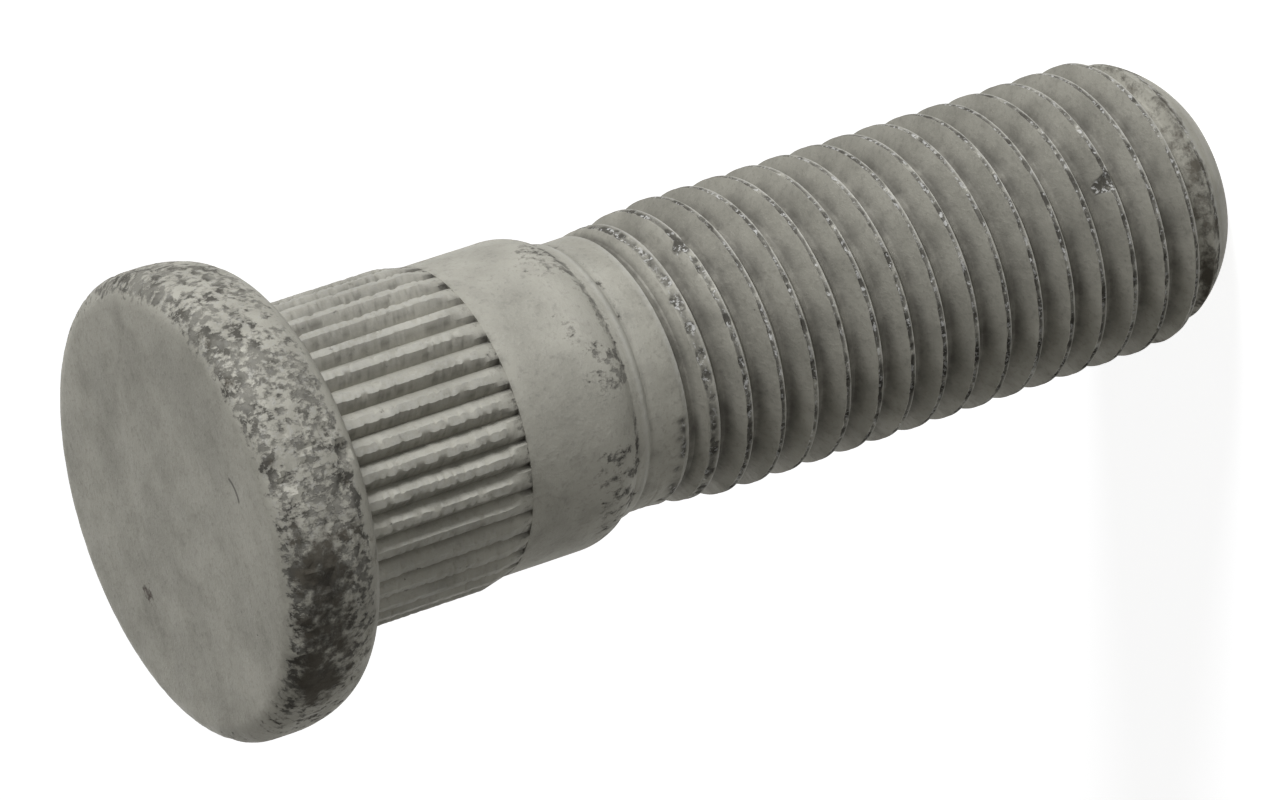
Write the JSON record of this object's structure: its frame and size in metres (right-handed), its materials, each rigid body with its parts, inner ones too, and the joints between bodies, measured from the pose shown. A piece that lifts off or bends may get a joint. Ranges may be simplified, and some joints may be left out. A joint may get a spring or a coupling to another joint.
{
  "type": "wheel stud",
  "caption": "Press-in wheel stud: round flat head, serrated shank that bites into a hub flange, plain shank, and a rolled metric fine thread with a rounded end for the wheel nut.",
  "frame": {"origin": "centre of the flat at the threaded end, which the stud stands on", "axes": "+Z along the stud's axis, from the threaded end towards the head"},
  "size_m": [0.0186, 0.0186, 0.0461],
  "materials": {
    "stud_steel": "matt grey phosphate over forged and rolled steel"
  },
  "bodies": {
    "root": {"wheel_stud": "stud_steel"}
  },
  "joints": []
}
